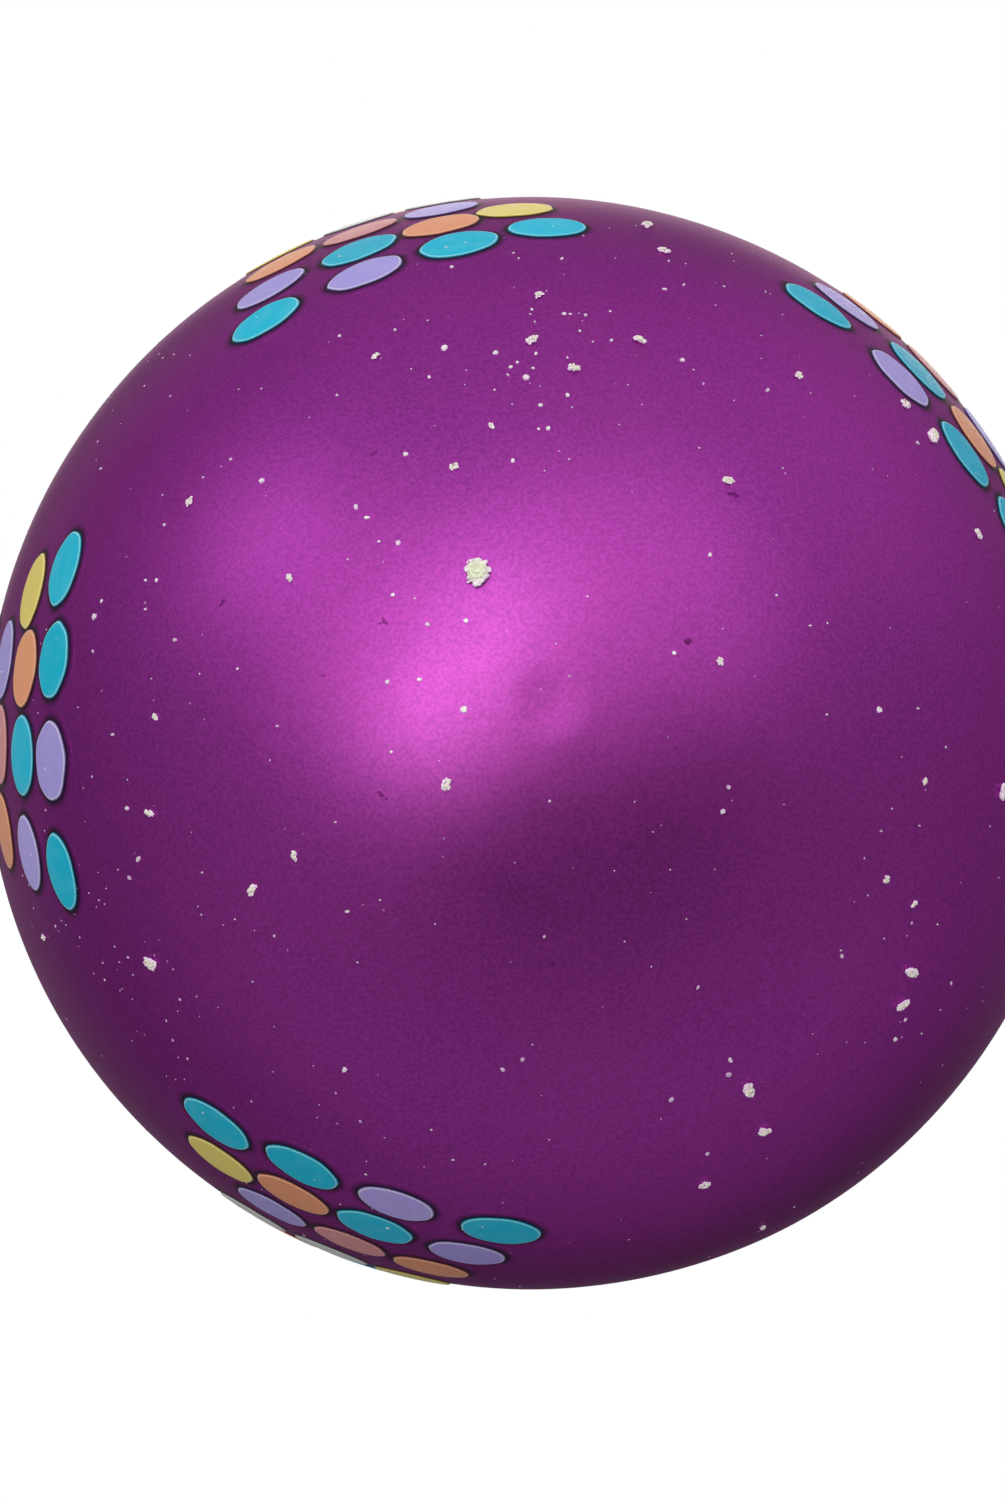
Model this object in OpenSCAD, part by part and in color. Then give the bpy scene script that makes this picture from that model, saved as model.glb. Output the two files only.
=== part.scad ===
// Hanging bauble: a blown glass ball with raised enamel dots and stray glitter, and a pull-off
// metal cap with a spring-wire hanger. The origin is the centre of the hanger's eye, +Z is up,
// and the ball hangs below it. Millimetres and degrees. A place on the ball is given by its
// angle from the bottom of the ball and its azimuth from +X towards +Y.

/* [Ball] */
// Outside diameter of the blown ball
ball_d = 100; // [80:5:120]
// Thickness of the glass
glass_t = 0.8; // [0.6:0.1:1.2]
// Width of the shallow pip where the glass was sealed
pip_d = 7.5; // [5:0.5:9]
// Depth of the pip
pip_depth = 0.25; // [0.15:0.05:0.4]
// Angle of the pip from the bottom of the ball
pip_angle = 3; // [1:1:6]
// Azimuth of the pip
pip_azimuth = 211; // [0:1:359]

/* [Neck] */
// Outside diameter of the open neck
neck_d = 16; // [15:0.5:18]
// Height of the neck's rim above the top of the ball
neck_h = 8; // [7:1:10]
// Radius of the curve that leads from the ball into the neck
neck_blend_r = 2.5; // [2:0.25:3]

/* [Cap] */
// Thickness of the stamped metal
cap_t = 0.4; // [0.3:0.05:0.5]
// Gap left between the cap and the glass
cap_gap = 0.35; // [0.2:0.05:0.4]
// Outside radius of the shoulder round the top
cap_round_r = 1.6; // [1:0.1:2]
// Height of the flared edge above the top of the ball's curve
cap_edge_h = -0.1; // [-0.1:0.1:0.5]
// Number of flutes round the skirt
flute_count = 24; // [16:4:32]
// Radius of a flute
flute_r = 0.3; // [0.2:0.05:0.35]
// Diameter of the two holes that the hanger passes through
wire_hole_d = 1.5; // [1.3:0.1:1.8]

/* [Hanger] */
// Diameter of the spring wire
wire_d = 1; // [0.8:0.1:1.1]
// Radius of the eye at the middle of the wire
eye_r = 4.5; // [4:0.5:6]
// Radius of the bend between the eye and a leg
eye_bend_r = 1.5; // [1:0.25:2]
// Distance of each hole from the middle of the cap
leg_x = 2.4; // [2:0.1:2.8]
// Distance of a leg's end from the middle, where it presses on the mouth of the ball
leg_end_x = 6.4; // [5.5:0.1:6.4]
// Radius of the two bends in a leg
leg_bend_r = 5; // [4:0.5:6]
// Angle at which a leg spreads between its two bends
leg_splay = 25; // [20:1:30]
// Straight length at the end of a leg
leg_end_l = 9; // [6:1:10]
// How far the eye can be pushed down towards the cap
push_travel = 3; // [2:0.5:4]

/* [Enamel dots] */
// Length of a dot along its row
dot_l = 7.1; // [5:0.1:8]
// Width of a dot across its row
dot_w = 4.8; // [4:0.1:5.5]
// Thickness of the enamel
dot_t = 0.2; // [0.1:0.05:0.4]
// Angle of the lowest row from the bottom of the ball
first_row = 60.5; // [58:0.5:63]
// How much a row bends down at its ends, in degrees per column squared
row_bow = 1; // [0:0.1:1.5]

/* [Glitter] */
// Number of fine flakes in the lower field
fine_low = 60; // [20:5:80]
// Number of fine flakes in the upper field
fine_high = 34; // [20:2:50]
// Seed of the scatter
glitter_seed = 12; // [1:1:99]

/* [Hidden] */
$fn = 96;

// One group of dots for each side: its name, the azimuth at which its rows start, how many
// degrees the group sits above first_row, and the column at which its rows lie lowest
groups = [
    ["front_right", 302, 0.8, 1.3],
    ["front", 235, -0.7, 1.3],
    ["left", 164, 0.6, 1.3],
    ["back", 96, -0.4, 0.9]
];
// The enamel colours: name, the letter used in the rows below, and the colour itself
enamels = [
    ["teal", "T", [0.07, 0.60, 0.73]],
    ["lavender", "L", [0.57, 0.51, 0.78]],
    ["orange", "O", [0.87, 0.53, 0.44]],
    ["yellow", "Y", [0.82, 0.69, 0.44]],
    ["pink", "P", [0.69, 0.48, 0.50]],
    ["silver", "S", [0.80, 0.79, 0.82]]
];
// One row of a group, lowest first: its dots, its first dot's azimuth, the step from dot to dot,
// how much the steps close up along the row, and its rise above the lowest row
rows = [
    ["TLTT", 0, 13, 0.5, 0],
    ["LTOY", 3, 11, 0.5, 6.7],
    ["OPL", 6, 9, 0, 14],
    ["YSS", 7, 9, 0, 23.4],
    ["TO", 12, 9, 0, 30.2],
    ["PT", 12.5, 9, 0, 37],
    ["Y", 17, 9, 0, 43.8]
];
// How much of its row's slope a dot follows
turn_share = 0.6;

// The large crumbs of glitter: angle from the bottom, azimuth and size
crumbs = [
    [17, 236, 2.5], [14, 153, 1.1], [29, 303, 1.1], [28, 245, 0.8], [32, 207, 0.8],
    [57, 322, 1.8], [57, 317, 1.1], [54, 335, 1.0], [47, 304, 0.9], [51, 8, 1.6],
    [47, 35, 1.6], [49, 39, 1.4], [37, 26, 0.7], [42, 27, 0.7], [38, 9, 0.7],
    [44, 63, 1.6], [51, 63, 1.3], [56, 72, 1.1], [41, 265, 1.3], [37, 271, 1.1],
    [42, 281, 1.1], [48, 267, 0.8], [67, 281, 1.2], [60, 283, 1.1], [31, 255, 0.7],
    [37, 152, 1.1], [54, 150, 1.4], [31, 154, 0.9], [46, 168, 1.0], [48, 211, 0.9],
    [44, 181, 0.7], [73, 158, 0.7], [73, 66, 0.7], [15, 338, 0.7], [45, 243, 0.7]
];
// Height of a crumb or flake as a share of its size
crumb_height = 0.4;
flake_height = 0.3;
// Smallest and largest fine flake
flake_sizes = [0.4, 0.8];
// Number of sides to the wire
wire_sides = 14;

ball_r = ball_d / 2;
neck_r = neck_d / 2;
rim_h = ball_r + neck_h;
// Radius of the sphere that presses the pip into the ball
pip_r = (pip_d * pip_d / 4 + pip_depth * pip_depth) / (2 * pip_depth);

// Heights down from the eye: the bend above the cap, the cap's underside and the ball
bend_x = leg_x + eye_bend_r;
bend_z = -sqrt(pow(eye_r + eye_bend_r, 2) - bend_x * bend_x);
bend_clearance = 0.4;
cap_under_z = bend_z - bend_clearance - push_travel - cap_t;
ball_z = cap_under_z - cap_gap - rim_h;

// Where a leg starts to spread, and the straight stretch between its two bends
spread_z = cap_under_z - 1;
splay_l = (leg_end_x - leg_x - 2 * leg_bend_r * (1 - cos(leg_splay))) / sin(leg_splay);

function dots_node(group, enamel) = str(group[0], "_", enamel[0], "_dots");

// Puts something drawn round the middle of the ball where the ball hangs
module at_ball() {
    translate([0, 0, ball_z]) children();
}

// Turns something drawn at the top of a ball to a place on it
module at_place(angle, azimuth) {
    rotate([0, 0, azimuth]) rotate([0, 180 - angle, 0]) children();
}

// Half the outline of the ball and its neck, drawn in from the outside by inset
module blown_outline(inset, top) {
    r = ball_r - inset;
    n = neck_r - inset;
    f = neck_blend_r + inset;
    blend_x = n + f;
    blend_y = sqrt(pow(r + f, 2) - blend_x * blend_x);
    intersection() {
        union() {
            circle(r);
            square([n, top]);
            difference() {
                polygon([
                    [0, 0], [blend_x, blend_y] * r / (r + f), [blend_x, blend_y],
                    [n, blend_y], [0, blend_y]
                ]);
                translate([blend_x, blend_y]) circle(f);
            }
        }
        translate([0, -ball_d]) square(3 * ball_d);
    }
}

module glass_shell() {
    color([0.45, 0.08, 0.45]) at_ball() difference() {
        rotate_extrude() difference() {
            blown_outline(0, rim_h);
            blown_outline(glass_t, rim_h + 1);
        }
        at_place(pip_angle, pip_azimuth)
            translate([0, 0, ball_r - pip_depth + pip_r]) rotate([90, 0, 0]) sphere(pip_r);
    }
}

// Half the outline of the neck grown outwards, with a rounded shoulder at its top
module cap_outline(grow, round_r) {
    shoulder = [neck_r + grow - round_r, rim_h + grow - round_r];
    blown_outline(-grow, shoulder[1]);
    square([shoulder[0], shoulder[1] + round_r]);
    translate(shoulder) circle(round_r);
}

module cap() {
    wall_r = neck_r + cap_gap + cap_t;
    flute_from = rim_h - neck_h + neck_blend_r;
    flute_to = rim_h + cap_gap + cap_t - cap_round_r;
    color([0.80, 0.80, 0.82]) at_ball() difference() {
        union() {
            rotate_extrude() intersection() {
                difference() {
                    cap_outline(cap_gap + cap_t, cap_round_r);
                    cap_outline(cap_gap, cap_round_r - cap_t);
                }
                translate([0, ball_r + cap_edge_h]) square(2 * neck_d);
            }
            for (k = [1 : flute_count])
                rotate([0, 0, 360 * k / flute_count]) translate([wall_r, 0, flute_from])
                    cylinder(r = flute_r, h = flute_to - flute_from);
        }
        for (side = [-1, 1])
            translate([side * leg_x, 0, rim_h - 1]) cylinder(d = wire_hole_d, h = 4);
    }
}

// A length of wire swept along points [x, z] in the plane of the eye
module wire_along(path) {
    last = len(path) - 1;
    function unit(v) = v / norm(v);
    points = [
        for (k = [0 : last])
            let (
                ahead = unit(path[min(k + 1, last)] - path[max(k - 1, 0)]),
                across = [-ahead[1], ahead[0]]
            )
            for (s = [0 : wire_sides - 1])
                let (a = 360 * s / wire_sides, p = path[k] + wire_d / 2 * cos(a) * across)
                [p[0], wire_d / 2 * sin(a), p[1]]
    ];
    walls = [
        for (k = [0 : last - 1])
            for (s = [0 : wire_sides - 1])
                let (t = (s + 1) % wire_sides, a = k * wire_sides)
                [a + s, a + wire_sides + s, a + wire_sides + t, a + t]
    ];
    start = [for (s = [0 : wire_sides - 1]) s];
    end = [for (s = [wire_sides - 1 : -1 : 0]) last * wire_sides + s];
    polyhedron(points, concat([start], walls, [end]));
}

// Points round a bend, from its first point to its last
function bend(x, z, r, from, sweep, steps) = [
    for (k = [0 : steps]) let (a = from + sweep * k / steps) [x + r * cos(a), z + r * sin(a)]
];

module hanger_wire() {
    join = atan2(-bend_z, bend_x);
    end_z = spread_z - 2 * leg_bend_r * sin(leg_splay) - splay_l * cos(leg_splay);
    right = concat(
        bend(0, 0, eye_r, 90, -90 - join, 16),
        bend(bend_x, bend_z, eye_bend_r, 180 - join, join, 6),
        bend(leg_x + leg_bend_r, spread_z, leg_bend_r, 180, leg_splay, 5),
        bend(leg_end_x - leg_bend_r, end_z, leg_bend_r, leg_splay, -leg_splay, 5),
        [[leg_end_x, end_z - leg_end_l]]
    );
    // The bends meet end to end, so a point that repeats the one before it is left out
    route = [
        for (k = [0 : len(right) - 1])
            if (k == 0 || norm(right[k] - right[k - 1]) > 0.01) right[k]
    ];
    left = [for (k = [len(route) - 1 : -1 : 1]) [-route[k][0], route[k][1]]];
    color([0.70, 0.70, 0.72]) wire_along(concat(left, route));
}

// One raised dot, cut from a layer on the ball
module enamel_dot(angle, azimuth, turn) {
    at_place(angle, azimuth) rotate([0, 0, turn]) intersection() {
        translate([0, 0, ball_r - 1]) linear_extrude(2) polygon([
            for (a = [0 : 15 : 345]) [dot_w / 2 * cos(a), dot_l / 2 * sin(a)]
        ]);
        rotate([90, 0, 0]) difference() {
            sphere(ball_r + dot_t);
            sphere(ball_r);
        }
    }
}

// Every dot of one colour in one group
module enamel_dots(group, enamel) {
    color(enamel[2]) at_ball()
        for (i = [0 : len(rows) - 1])
            for (c = [0 : len(rows[i][0]) - 1])
                if (rows[i][0][c] == enamel[1]) {
                    off = c - group[3];
                    enamel_dot(
                        first_row + group[2] + rows[i][4] + row_bow * off * off,
                        group[1] + rows[i][1] + c * (rows[i][2] - c * rows[i][3]),
                        turn_share * atan(2 * row_bow * off / rows[i][2])
                    );
                }
}

// One flat-sided grain of glitter lying on the ball
module grain(angle, azimuth, size, height, spin) {
    at_place(angle, azimuth) translate([0, 0, ball_r]) rotate([0, 0, spin])
        cylinder(d = size, h = height, $fn = 6);
}

module glitter_crumbs() {
    color([0.89, 0.82, 0.85]) at_ball()
        for (c = crumbs) grain(c[0], c[1], c[2], c[2] * crumb_height, 7 * c[0]);
}

// Flakes scattered evenly over the band between two angles from the bottom
module flake_field(count, from, to, seed) {
    heights = rands(cos(to), cos(from), count, seed);
    azimuths = rands(0, 360, count, seed + 1);
    sizes = rands(flake_sizes[0], flake_sizes[1], count, seed + 2);
    for (k = [0 : count - 1])
        grain(acos(heights[k]), azimuths[k], sizes[k], sizes[k] * flake_height, azimuths[k]);
}

module glitter_flakes() {
    color([0.93, 0.88, 0.92]) at_ball() {
        flake_field(fine_low, 9, 56, glitter_seed);
        flake_field(fine_high, 113, 150, glitter_seed + 3);
    }
}

glass_shell();
cap();
hanger_wire();
glitter_crumbs();
glitter_flakes();
for (g = groups)
    for (e = enamels)
        enamel_dots(g, e);
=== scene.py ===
"""A hanging glass bauble: satin lacquer over silvered blown glass, raised enamel dots, stray glitter,
and a fluted cap on a spring-wire hanger. Metres, in the frame's axes: the origin is the centre of the
hanger's eye and the ball hangs below it. A place on the ball is a direction from its centre."""
import math
import random

import bmesh
import bpy
from mathutils import Matrix, Vector, noise


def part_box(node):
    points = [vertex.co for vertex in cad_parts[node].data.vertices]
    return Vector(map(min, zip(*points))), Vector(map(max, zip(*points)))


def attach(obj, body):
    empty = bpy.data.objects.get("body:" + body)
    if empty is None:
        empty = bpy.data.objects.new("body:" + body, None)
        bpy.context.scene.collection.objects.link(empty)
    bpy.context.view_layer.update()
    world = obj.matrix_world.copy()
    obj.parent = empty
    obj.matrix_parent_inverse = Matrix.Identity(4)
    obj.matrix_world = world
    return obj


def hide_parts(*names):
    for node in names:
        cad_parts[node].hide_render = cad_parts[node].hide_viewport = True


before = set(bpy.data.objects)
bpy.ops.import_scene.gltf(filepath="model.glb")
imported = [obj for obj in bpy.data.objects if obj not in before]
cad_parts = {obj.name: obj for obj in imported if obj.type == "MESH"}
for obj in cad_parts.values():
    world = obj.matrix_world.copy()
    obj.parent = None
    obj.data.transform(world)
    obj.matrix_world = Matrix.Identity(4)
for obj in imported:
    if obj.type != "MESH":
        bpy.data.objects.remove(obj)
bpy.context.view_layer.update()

MM = 0.001
TAU = 2 * math.pi

# ---- Sizes of the design, in metres, and angles in degrees unless they are turned to radians ----
BALL_R = 50 * MM
GLASS_T = 0.8 * MM
NECK_R = 8 * MM
NECK_H = 8 * MM
NECK_BLEND_R = 2.5 * MM
PIP_R = 3.75 * MM
PIP_DEPTH = 0.12 * MM
PIP_ANGLE = 3
PIP_AZIMUTH = 211
DOT_T = 0.2 * MM
CAP_T = 0.4 * MM
CAP_GAP = 0.35 * MM
CAP_ROUND_R = 1.6 * MM
CAP_HOLE_R = 0.75 * MM
WIRE_R = 0.5 * MM
EYE_R = 4.5 * MM
EYE_BEND_R = 1.5 * MM
LEG_X = 2.4 * MM
LEG_STRAIGHT_L = 1 * MM
LEG_END_X = 6.4 * MM
LEG_BEND_R = 5 * MM
LEG_SPLAY = math.radians(25)
LEG_END_L = 9 * MM

RIM_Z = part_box("glass_shell")[1].z
CAP_TOP_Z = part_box("cap")[1].z
CENTRE = Vector((0, 0, RIM_Z - NECK_H - BALL_R))
# The bend of the glass into its neck is an arc round this point: radius, and height over the centre
BLEND_X = NECK_R + NECK_BLEND_R
BLEND_Z = math.sqrt((BALL_R + NECK_BLEND_R) ** 2 - BLEND_X ** 2)

ENAMELS = ("teal", "lavender", "orange", "yellow", "pink", "silver")
GROUPS = ("front_right", "front", "left", "back")


# ---- Small helpers ----
def on_ball(angle, azimuth):
    """The direction at an angle from the bottom of the ball and an azimuth from +X, in degrees."""
    a, z = math.radians(angle), math.radians(azimuth)
    return Vector((math.sin(a) * math.cos(z), math.sin(a) * math.sin(z), -math.cos(a)))


def smooth_step(low, high, value):
    """0 on the far side of low, 1 past high, and a smooth rise between. low may be over high."""
    t = min(1, max(0, (value - low) / (high - low)))
    return t * t * (3 - 2 * t)


def arc(centre, radius, start, sweep, steps):
    """Points round a bend, from its first point to its last. Angles in radians."""
    turns = [start + sweep * k / steps for k in range(steps + 1)]
    return [(centre[0] + radius * math.cos(a), centre[1] + radius * math.sin(a)) for a in turns]


def band(a, b, segments):
    """Faces between two closed loops of vertices, which start at a and at b."""
    return [(a + s, b + s, b + (s + 1) % segments, a + (s + 1) % segments) for s in range(segments)]


def band_inward(a, b, segments):
    """The same faces, turned to look the other way."""
    return [(a + s, a + (s + 1) % segments, b + (s + 1) % segments, b + s) for s in range(segments)]


def new_piece(
    name, verts, faces, body, materials, replaces=(), smooth=True, values=None, kinds=None
):
    """A mesh piece on a body. values are extra numbers for each vertex, kinds a material for each face."""
    mesh = bpy.data.meshes.new(name)
    mesh.from_pydata([tuple(v) for v in verts], [], faces)
    for m in materials:
        mesh.materials.append(m)
    mesh.polygons.foreach_set("use_smooth", [smooth] * len(mesh.polygons))
    if kinds:
        mesh.polygons.foreach_set("material_index", kinds)
    for key, numbers in (values or {}).items():
        mesh.attributes.new(key, "FLOAT", "POINT").data.foreach_set("value", numbers)
    mesh.update()
    piece = bpy.data.objects.new(name, mesh)
    bpy.context.scene.collection.objects.link(piece)
    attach(piece, body)
    if replaces:
        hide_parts(*replaces)
    return piece


def revolved(profile, segments, shape):
    """Vertices and faces of a profile of (radius, height) turned round Z. Its ends are on the axis.
    shape gives each vertex its final place, from the turned one, its row and its turn."""
    verts, faces = [], []
    inner = profile[1:-1]
    for row, (r, z) in enumerate(inner):
        for s in range(segments):
            a = TAU * s / segments
            verts.append(shape(Vector((r * math.cos(a), r * math.sin(a), z)), row, a))
    for k in range(len(inner) - 1):
        faces += band_inward(k * segments, (k + 1) * segments, segments)
    first, last = len(verts), len(verts) + 1
    top = (len(inner) - 1) * segments
    verts.append(shape(Vector((0, 0, profile[0][1])), 0, 0))
    verts.append(shape(Vector((0, 0, profile[-1][1])), len(inner) - 1, 0))
    for s in range(segments):
        t = (s + 1) % segments
        faces.append((first, t, s))
        faces.append((last, top + s, top + t))
    return verts, faces


def solids_of(node):
    """The separate solids of a CAD node, each as a list of its corners."""
    bm = bmesh.new()
    bm.from_mesh(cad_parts[node].data)
    bmesh.ops.remove_doubles(bm, verts=bm.verts, dist=0.001 * MM)
    bm.verts.ensure_lookup_table()
    seen, solids = set(), []
    for v in bm.verts:
        if v.index in seen:
            continue
        seen.add(v.index)
        ahead, found = [v], []
        while ahead:
            at = ahead.pop()
            found.append(at.co.copy())
            for e in at.link_edges:
                other = e.other_vert(at)
                if other.index not in seen:
                    seen.add(other.index)
                    ahead.append(other)
        solids.append(found)
    bm.free()
    return solids


def lie_of(corners):
    """How a flat solid lies on the ball: its direction, its long and short axes, and its half sizes."""
    out = (sum(corners, Vector()) / len(corners) - CENTRE).normalized()
    flat = [(c - CENTRE) - out * (c - CENTRE).dot(out) for c in corners]
    longest = max(flat, key=lambda f: f.length)
    along = longest.normalized()
    across = out.cross(along)
    return out, along, across, longest.length, max(abs(f.dot(across)) for f in flat)


def turned(along, across, angle):
    """Two axes on the surface, turned by an angle."""
    c, s = math.cos(angle), math.sin(angle)
    return along * c + across * s, across * c - along * s


def any_axes(out, rng):
    """Two axes on the surface at a direction, turned at random."""
    along = out.orthogonal().normalized()
    return turned(along, out.cross(along), rng.uniform(0, TAU))


# ---- The surface of the glass ----
PIP = on_ball(PIP_ANGLE, PIP_AZIMUTH)
# The ball's uneven swells: how high, how close together, where their noise is taken from, and between
# which heights of a direction they fade out towards the neck
SWELL_H = 0.16 * MM
SWELL_SCALE = 1.9
SWELL_SHIFT = Vector((3.1, 0.4, 7.7))
SWELL_FADE = (0.6, 0.9)


def glass_radius(out):
    """Radius of the ball in a direction: slightly uneven as blown glass is, with the pip pressed in."""
    fade = 1 - smooth_step(*SWELL_FADE, out.z)
    r = BALL_R + SWELL_H * fade * noise.noise(out * SWELL_SCALE + SWELL_SHIFT)
    away = BALL_R * out.angle(PIP) / PIP_R
    if away < 1:
        r -= PIP_DEPTH * (1 - away * away) ** 2
    return r


def beside(out, along, across, x, y):
    """The direction of the point that lies x along and y across from another on the ball."""
    return (out * BALL_R + along * x + across * y).normalized()


def at_surface(out, along, across, x, y, height):
    """The point at x along and y across from a direction, at a height over the glass."""
    d = beside(out, along, across, x, y)
    return CENTRE + d * (glass_radius(d) + height)


# ---- Materials ----
# A Mix node's sockets for colours. Its sockets for other kinds of value have the same names
MIX_FIRST, MIX_SECOND, MIX_RESULT = 6, 7, 2


class Shader:
    """A Principled material with the few node patterns that this object needs."""

    def __init__(self, name, color, roughness, metallic=0.0, **settings):
        self.material = bpy.data.materials.new(name)
        self.material.use_nodes = True
        self.tree = self.material.node_tree
        self.bsdf = self.tree.nodes["Principled BSDF"]
        self.bsdf.inputs["Base Color"].default_value = (*color, 1)
        self.bsdf.inputs["Metallic"].default_value = metallic
        self.bsdf.inputs["Roughness"].default_value = roughness
        for key, value in settings.items():
            self.bsdf.inputs[key.replace("_", " ")].default_value = value
        self.coords = self.tree.nodes.new("ShaderNodeTexCoord").outputs["Object"]

    def link(self, a, b):
        """Joins an output to an input."""
        self.tree.links.new(a, b)

    def noise(self, size, detail, roughness=0.5, stretch=(1, 1, 1)):
        """Noise with features of a size in metres."""
        node = self.tree.nodes.new("ShaderNodeTexNoise")
        node.inputs["Scale"].default_value = 1 / size
        node.inputs["Detail"].default_value = detail
        node.inputs["Roughness"].default_value = roughness
        place = self.tree.nodes.new("ShaderNodeMapping")
        place.inputs["Scale"].default_value = stretch
        self.link(self.coords, place.inputs["Vector"])
        self.link(place.outputs["Vector"], node.inputs["Vector"])
        return node.outputs["Fac"]

    def mapped(self, value, low, high, to_low, to_high):
        """A value, with its range from low to high laid on another range and held inside it."""
        node = self.tree.nodes.new("ShaderNodeMapRange")
        for key, number in (("From Min", low), ("From Max", high), ("To Min", to_low), ("To Max", to_high)):
            node.inputs[key].default_value = number
        self.link(value, node.inputs["Value"])
        return node.outputs["Result"]

    def attribute(self, name):
        """The number that a mesh keeps for each vertex under a name."""
        node = self.tree.nodes.new("ShaderNodeAttribute")
        node.attribute_name = name
        return node.outputs["Fac"]

    def mix(self, amount, first, second):
        """Two colours mixed by an amount. Each is a colour or the output of another mix."""
        node = self.tree.nodes.new("ShaderNodeMix")
        node.data_type = "RGBA"
        self.link(amount, node.inputs["Factor"])
        for given, key in ((first, MIX_FIRST), (second, MIX_SECOND)):
            if isinstance(given, tuple):
                node.inputs[key].default_value = (*given, 1)
            else:
                self.link(given, node.inputs[key])
        return node.outputs[MIX_RESULT]

    def color(self, output):
        self.link(output, self.bsdf.inputs["Base Color"])

    def roughness(self, output):
        self.link(output, self.bsdf.inputs["Roughness"])

    def bump(self, height, distance):
        """Adds a bump on top of those already there. distance is its depth in metres."""
        node = self.tree.nodes.new("ShaderNodeBump")
        node.inputs["Distance"].default_value = distance
        self.link(height, node.inputs["Height"])
        normal = self.bsdf.inputs["Normal"]
        if normal.is_linked:
            self.link(normal.links[0].from_socket, node.inputs["Normal"])
        self.link(node.outputs["Normal"], normal)


def lacquer_material():
    """Satin purple lacquer over silvering: a metallic glow, a very fine grain, faint cloudiness, and
    painted shade where a mesh marks it.
    """
    s = Shader(
        "satin_lacquer", (0.40, 0.038, 0.41), metallic=1.0, roughness=0.42,
        Specular_Tint=(0.30, 0.08, 0.18, 1), Coat_Weight=0.35, Coat_Roughness=0.36, Coat_IOR=1.5,
    )
    cloud = s.mapped(s.noise(22 * MM, 3), 0.35, 0.65, 0, 1)
    grain = s.mapped(s.noise(0.3 * MM, 2), 0.35, 0.65, 0, 0.8)
    toned = s.mix(cloud, (0.33, 0.026, 0.36), (0.37, 0.032, 0.36))
    grained = s.mix(grain, toned, (0.50, 0.046, 0.49))
    # painted shade: where a mesh marks it, the lacquer goes near black for a dot's shadow and dark reflection
    s.color(s.mix(s.attribute("shade"), grained, (0.04, 0.003, 0.06)))
    s.roughness(s.mapped(s.noise(9 * MM, 4), 0.3, 0.7, 0.39, 0.45))
    s.bump(s.noise(0.3 * MM, 2), 0.005 * MM)
    s.bump(s.noise(5 * MM, 2), 0.03 * MM)
    return s.material


def silvering_material():
    """The mirror coat on the inside of the glass, with a little tarnish."""
    s = Shader("silvering", (0.86, 0.85, 0.82), metallic=1.0, roughness=0.12)
    tarnish = s.mapped(s.noise(3 * MM, 4), 0.45, 0.75, 0, 1)
    s.color(s.mix(tarnish, (0.88, 0.87, 0.85), (0.55, 0.48, 0.38)))
    s.roughness(s.mapped(s.noise(1.5 * MM, 3), 0.3, 0.7, 0.08, 0.25))
    return s.material


# Each enamel's body, the paler tone of its thin edge, and the dark tone painted as shade at its base
# on the lacquer, for the dot's shadow and its dark reflection
ENAMEL_COLORS = {
    "teal": ((0.0, 0.52, 0.84), (0.32, 0.72, 0.98), (0.0, 0.03, 0.10)),
    "lavender": ((0.48, 0.36, 1.0), (0.72, 0.62, 1.0), (0.04, 0.01, 0.08)),
    "orange": ((1.0, 0.34, 0.19), (1.0, 0.50, 0.38), (0.10, 0.01, 0.04)),
    "yellow": ((1.0, 0.70, 0.18), (1.0, 0.84, 0.42), (0.12, 0.035, 0.02)),
    "pink": ((0.82, 0.30, 0.35), (0.88, 0.42, 0.48), (0.08, 0.012, 0.05)),
    "silver": ((0.80, 0.78, 0.84), (0.92, 0.90, 0.94), (0.08, 0.03, 0.08)),
}


def enamel_material(name):
    """Opaque enamel: a flat body, a pale thin edge and painted shade at its base on the lacquer."""
    body, edge, painted_foot_shade = ENAMEL_COLORS[name]
    s = Shader(
        f"{name}_enamel", body, roughness=0.35,
        Specular_IOR_Level=0.15, Sheen_Weight=0.14, Sheen_Roughness=0.25,
    )
    deep = tuple(0.86 * c for c in body)
    light = tuple(min(1, 1.12 * c) for c in body)
    toned = s.mix(s.attribute("tone"), deep, light)
    mottled = s.mix(s.mapped(s.noise(1.6 * MM, 3), 0.45, 0.8, 0, 0.16), toned, edge)
    edged = s.mix(s.attribute("rim"), mottled, edge)
    # painted shade: the base of each dot is darkened for its shadow and dark reflection
    s.color(s.mix(s.attribute("painted_foot_shade"), edged, painted_foot_shade))
    s.roughness(s.mapped(s.noise(0.9 * MM, 2), 0.3, 0.7, 0.30, 0.42))
    s.bump(s.noise(1.6 * MM, 1), 0.002 * MM)
    return s.material


def crumb_material():
    """Glitter crumbs: a cream core crusted with bright, faintly pink grains, and a faint glow painted
    on as their glints.
    """
    # the emission is painted light: a faint glow that stands for the glints of the grains
    s = Shader(
        "glitter_crumb", (0.98, 0.80, 1.0), metallic=0.1, roughness=0.3, Specular_IOR_Level=0.8,
        Emission_Color=(0.95, 0.75, 1.0, 1), Emission_Strength=0.10,
    )
    crust = s.mix(s.mapped(s.noise(0.25 * MM, 2), 0.35, 0.65, 0, 1), (0.94, 0.68, 0.98), (1.0, 0.88, 1.0))
    s.color(s.mix(s.attribute("crust"), (0.78, 0.75, 0.58), crust))
    s.bump(s.noise(0.12 * MM, 3), 0.03 * MM)
    return s.material


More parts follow.
